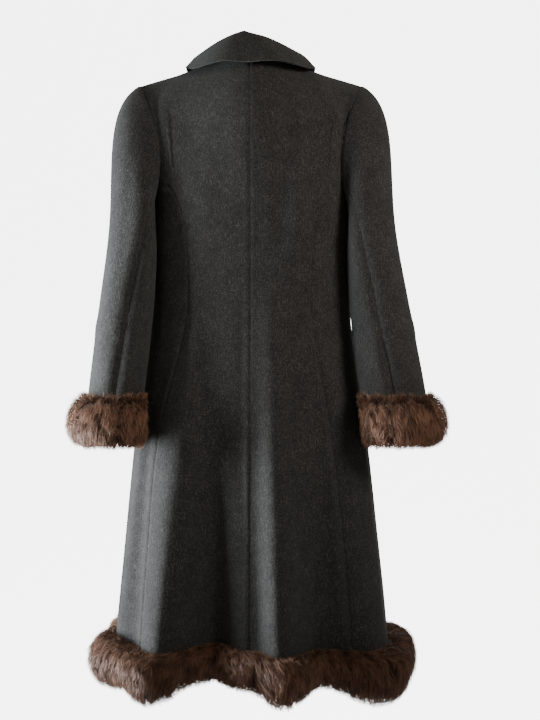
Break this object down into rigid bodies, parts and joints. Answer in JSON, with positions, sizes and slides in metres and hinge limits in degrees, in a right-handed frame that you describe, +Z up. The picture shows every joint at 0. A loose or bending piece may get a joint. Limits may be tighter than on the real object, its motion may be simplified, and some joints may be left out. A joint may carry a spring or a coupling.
{
  "type": "long coat",
  "caption": "Long fitted coat in charcoal wool with princess seams, turned-down collar, flared skirt, and long fur cuffs and hem",
  "frame": {"origin": "middle of the neck opening, level with the back neck seam", "axes": "+Z up, -Y toward the coat's front, +Y toward its back, +X toward the coat's own left"},
  "size_m": [0.6189, 0.3937, 1.0993],
  "materials": {
    "wool": "matte heathered boiled wool",
    "fur": "long soft fur",
    "button_plastic": "plain satin"
  },
  "bodies": {
    "root": {"back_left": "wool", "back_right": "wool", "side_back_left": "wool", "side_back_right": "wool", "front_left": "wool", "front_right": "wool", "sleeve_top_left": "wool", "sleeve_under_left": "wool", "fur_cuff_left": "fur", "sleeve_top_right": "wool", "sleeve_under_right": "wool", "fur_cuff_right": "fur", "fur_hem": "fur", "collar": "wool", "button_1": "button_plastic", "button_2": "button_plastic", "button_3": "button_plastic", "button_4": "button_plastic"}
  },
  "joints": []
}
